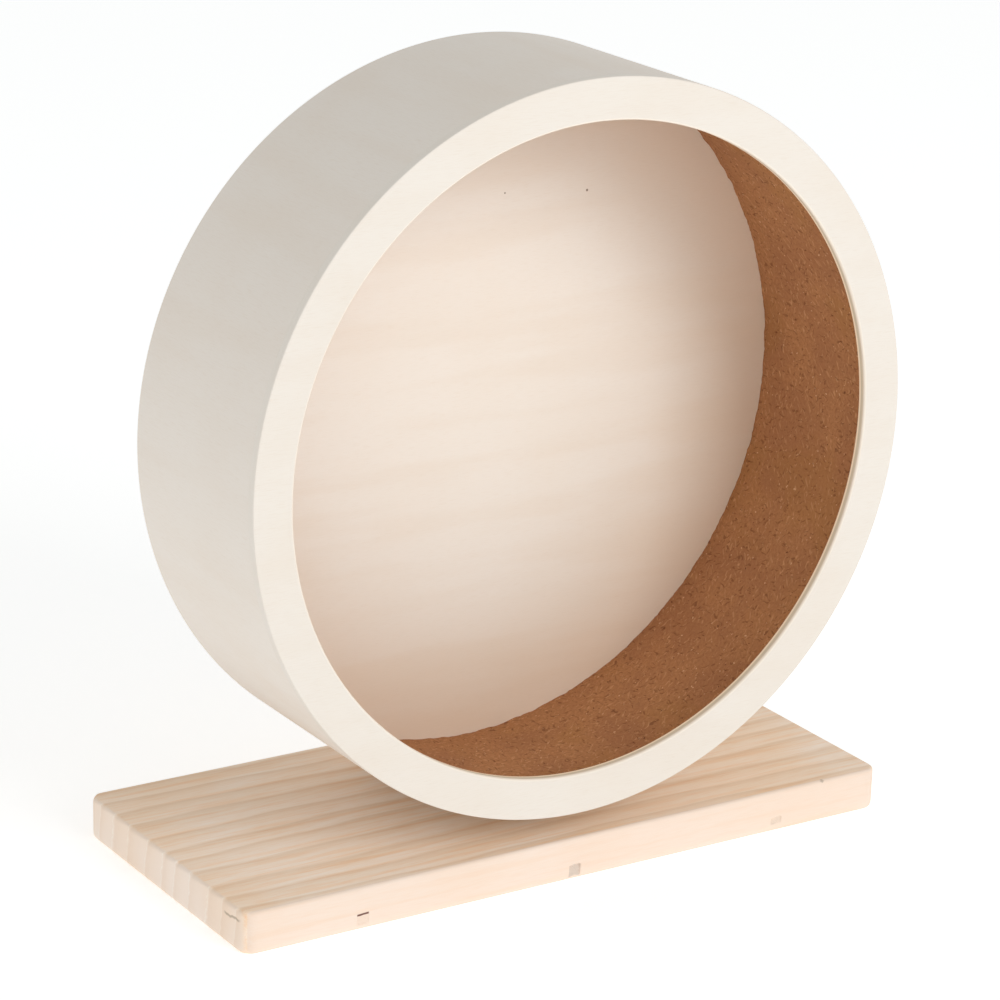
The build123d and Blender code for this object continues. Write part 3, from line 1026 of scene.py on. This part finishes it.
def cork_mesh():
    """Turned strip whose inner side carries a small seeded relief: random heights on a grid of
    about 1.5 mm, and wider, deeper chips out of the last row at the disc."""
    draw = np.random.default_rng(11)
    count, steps = 620, 58
    seam = butt_half / cork_inner
    angle = cork_seam + seam + np.linspace(0, 2 * math.pi - 2 * seam, count)
    along = np.linspace(cork_low.y, cork_high.y, steps)
    inner = cork_inner + np.abs(draw.normal(0, 0.05, (steps, count))) * mm
    chip_places = np.arange(0, count + 3, chip_spacing)
    chip_sizes = np.abs(draw.normal(0, 0.34, len(chip_places))) * mm
    chips = np.interp(np.arange(count), chip_places, chip_sizes)
    nicks = np.abs(draw.normal(0, 0.16, count)) * mm
    inner[-1] = cork_inner + np.clip(chips + nicks, 0, deepest_chip)
    inner[-2] = cork_inner + np.clip(0.35 * chips, 0, 0.3 * mm)
    outer = np.full((1, count), cork_outer)
    radius = np.vstack([outer, inner, outer, outer])
    level = np.concatenate([[cork_low.y], along, [cork_high.y], [cork_low.y]])
    grid = np.empty(radius.shape + (3,))
    grid[..., 0] = radius * np.cos(angle)
    grid[..., 1] = level[:, None]
    grid[..., 2] = radius * np.sin(angle) + axle_z
    return skin("cork_lining_skin", closed_ends(grid), around=False, fold=60)


def cork_finish():
    """Granulated cork: brown grains pressed flat, with short pale and dark fibres that lie round
    the drum, across it and slanting, olive and reddish patches, and small pale and dark specks.
    The pattern is read on the unrolled strip: the angle round the axle times the radius, and the
    distance along it."""
    material, shader, place = new_finish("cork")
    x, y, z = place.part(0), place.part(1), place.part(2) - axle_z
    cosine, sine = math.cos(pattern_lean), math.sin(pattern_lean)
    turned_x, turned_z = x * cosine - z * sine, x * sine + z * cosine
    round_way = turned_z.maths("ARCTAN2", turned_z, turned_x) * cork_inner
    bend = 5 * mm * (place.noise(160, 2) - 0.5)
    along, across = round_way + bend, y + bend
    flat = joined(along, across, 0.0)
    slant = joined(0.7 * (along + across), 0.7 * (across - along), 0.0)
    long_pale = flat.stretched((0.34, 1, 1)).noise(760, 1, 0.5).rise(0.62, 0.72)
    long_dark = slant.stretched((1, 0.32, 1)).noise(760, 1, 0.5).rise(0.37, 0.28)
    cross_pale = slant.stretched((0.32, 1, 1)).noise(720, 1, 0.5).rise(0.62, 0.72)
    cross_dark = flat.stretched((1, 0.32, 1)).noise(700, 1, 0.5).rise(0.37, 0.28)
    grain = flat.noise(700, 3, 0.7)
    reddish, olive = place.noise(38, 2), place.noise(26, 2)
    colour = grain.ramp((0.3, srgb(168, 118, 79)), (0.5, srgb(185, 131, 88)),
                        (0.7, srgb(198, 145, 99)))
    colour = (0.5 * reddish.rise(0.35, 0.65)).blend(colour, srgb(164, 112, 78))
    colour = (0.4 * olive.rise(0.5, 0.65)).blend(colour, srgb(176, 126, 74))
    colour = (0.5 * long_pale + 0.4 * cross_pale).blend(colour, srgb(218, 170, 122))
    colour = (0.5 * long_dark + 0.5 * cross_dark).blend(colour, srgb(110, 66, 42))
    dark_speck = flat.noise(900, 0).rise(0.80, 0.84)
    pale_speck = place.noise(820, 0).rise(0.81, 0.85)
    colour = (0.85 * dark_speck).blend(colour, srgb(74, 42, 26))
    colour = (0.8 * pale_speck).blend(colour, srgb(232, 194, 150))
    feed(shader, "Base Color", colour)
    feed(shader, "Roughness", 0.74 + 0.12 * grain)
    feed(shader, "Normal", relief(grain + 0.5 * long_pale - 0.5 * long_dark, 0.1 * mm, 0.5))
    shader.inputs["Specular IOR Level"].default_value = 0.25
    return material


cork = cork_mesh()
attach(cork, "wheel")
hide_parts("cork_lining")
wear(cork, cork_finish())


# Floor and light
# A wide white floor that runs to the horizon, a pale room that is darker overhead,
# and one large soft lamp in front, as in a product studio.

far = 20
lamp_place, lamp_aim = Vector((0.5, -2.2, 1.3)), Vector((0, 0, 0.18))
lamp_size, lamp_power = 1.2, 17

floor_mesh = bpy.data.meshes.new("floor")
floor_corners = [(-far, -far, 0), (far, -far, 0), (far, far, 0), (-far, far, 0)]
floor_mesh.from_pydata(floor_corners, [], [(0, 1, 2, 3)])
floor = shown("floor", floor_mesh)
floor_paint, floor_shader, _ = new_finish("floor_paint")
floor_shader.inputs["Base Color"].default_value = (0.92, 0.92, 0.92, 1)
floor_shader.inputs["Roughness"].default_value = 0.9
floor_shader.inputs["Specular IOR Level"].default_value = 0.0
floor_shader.inputs["Emission Color"].default_value = (1, 1, 1, 1)
floor_shader.inputs["Emission Strength"].default_value = 0.385
wear(floor, floor_paint)

world = bpy.context.scene.world or bpy.data.worlds.new("room")
bpy.context.scene.world = world
world.use_nodes = True
room = world.node_tree
direction = Wire(room, room.nodes.new("ShaderNodeTexCoord").outputs["Generated"])
height = direction.part(2)
sky = height.rise(0.0, 0.75).blend((1.0, 0.99, 0.97, 1), (0.535, 0.55, 0.55, 1))
room.links.new(sky.socket, room.nodes["Background"].inputs["Color"])
room.nodes["Background"].inputs["Strength"].default_value = 1.0

light = bpy.data.lights.new("front_lamp", "AREA")
light.size = lamp_size
light.energy = lamp_power
lamp = shown("front_lamp", light)
facing = (lamp_aim - lamp_place).to_track_quat("-Z", "Y").to_matrix().to_4x4()
lamp.matrix_world = Matrix.Translation(lamp_place) @ facing

bpy.context.scene.view_settings.view_transform = "Standard"
bpy.context.scene.view_settings.look = "None"
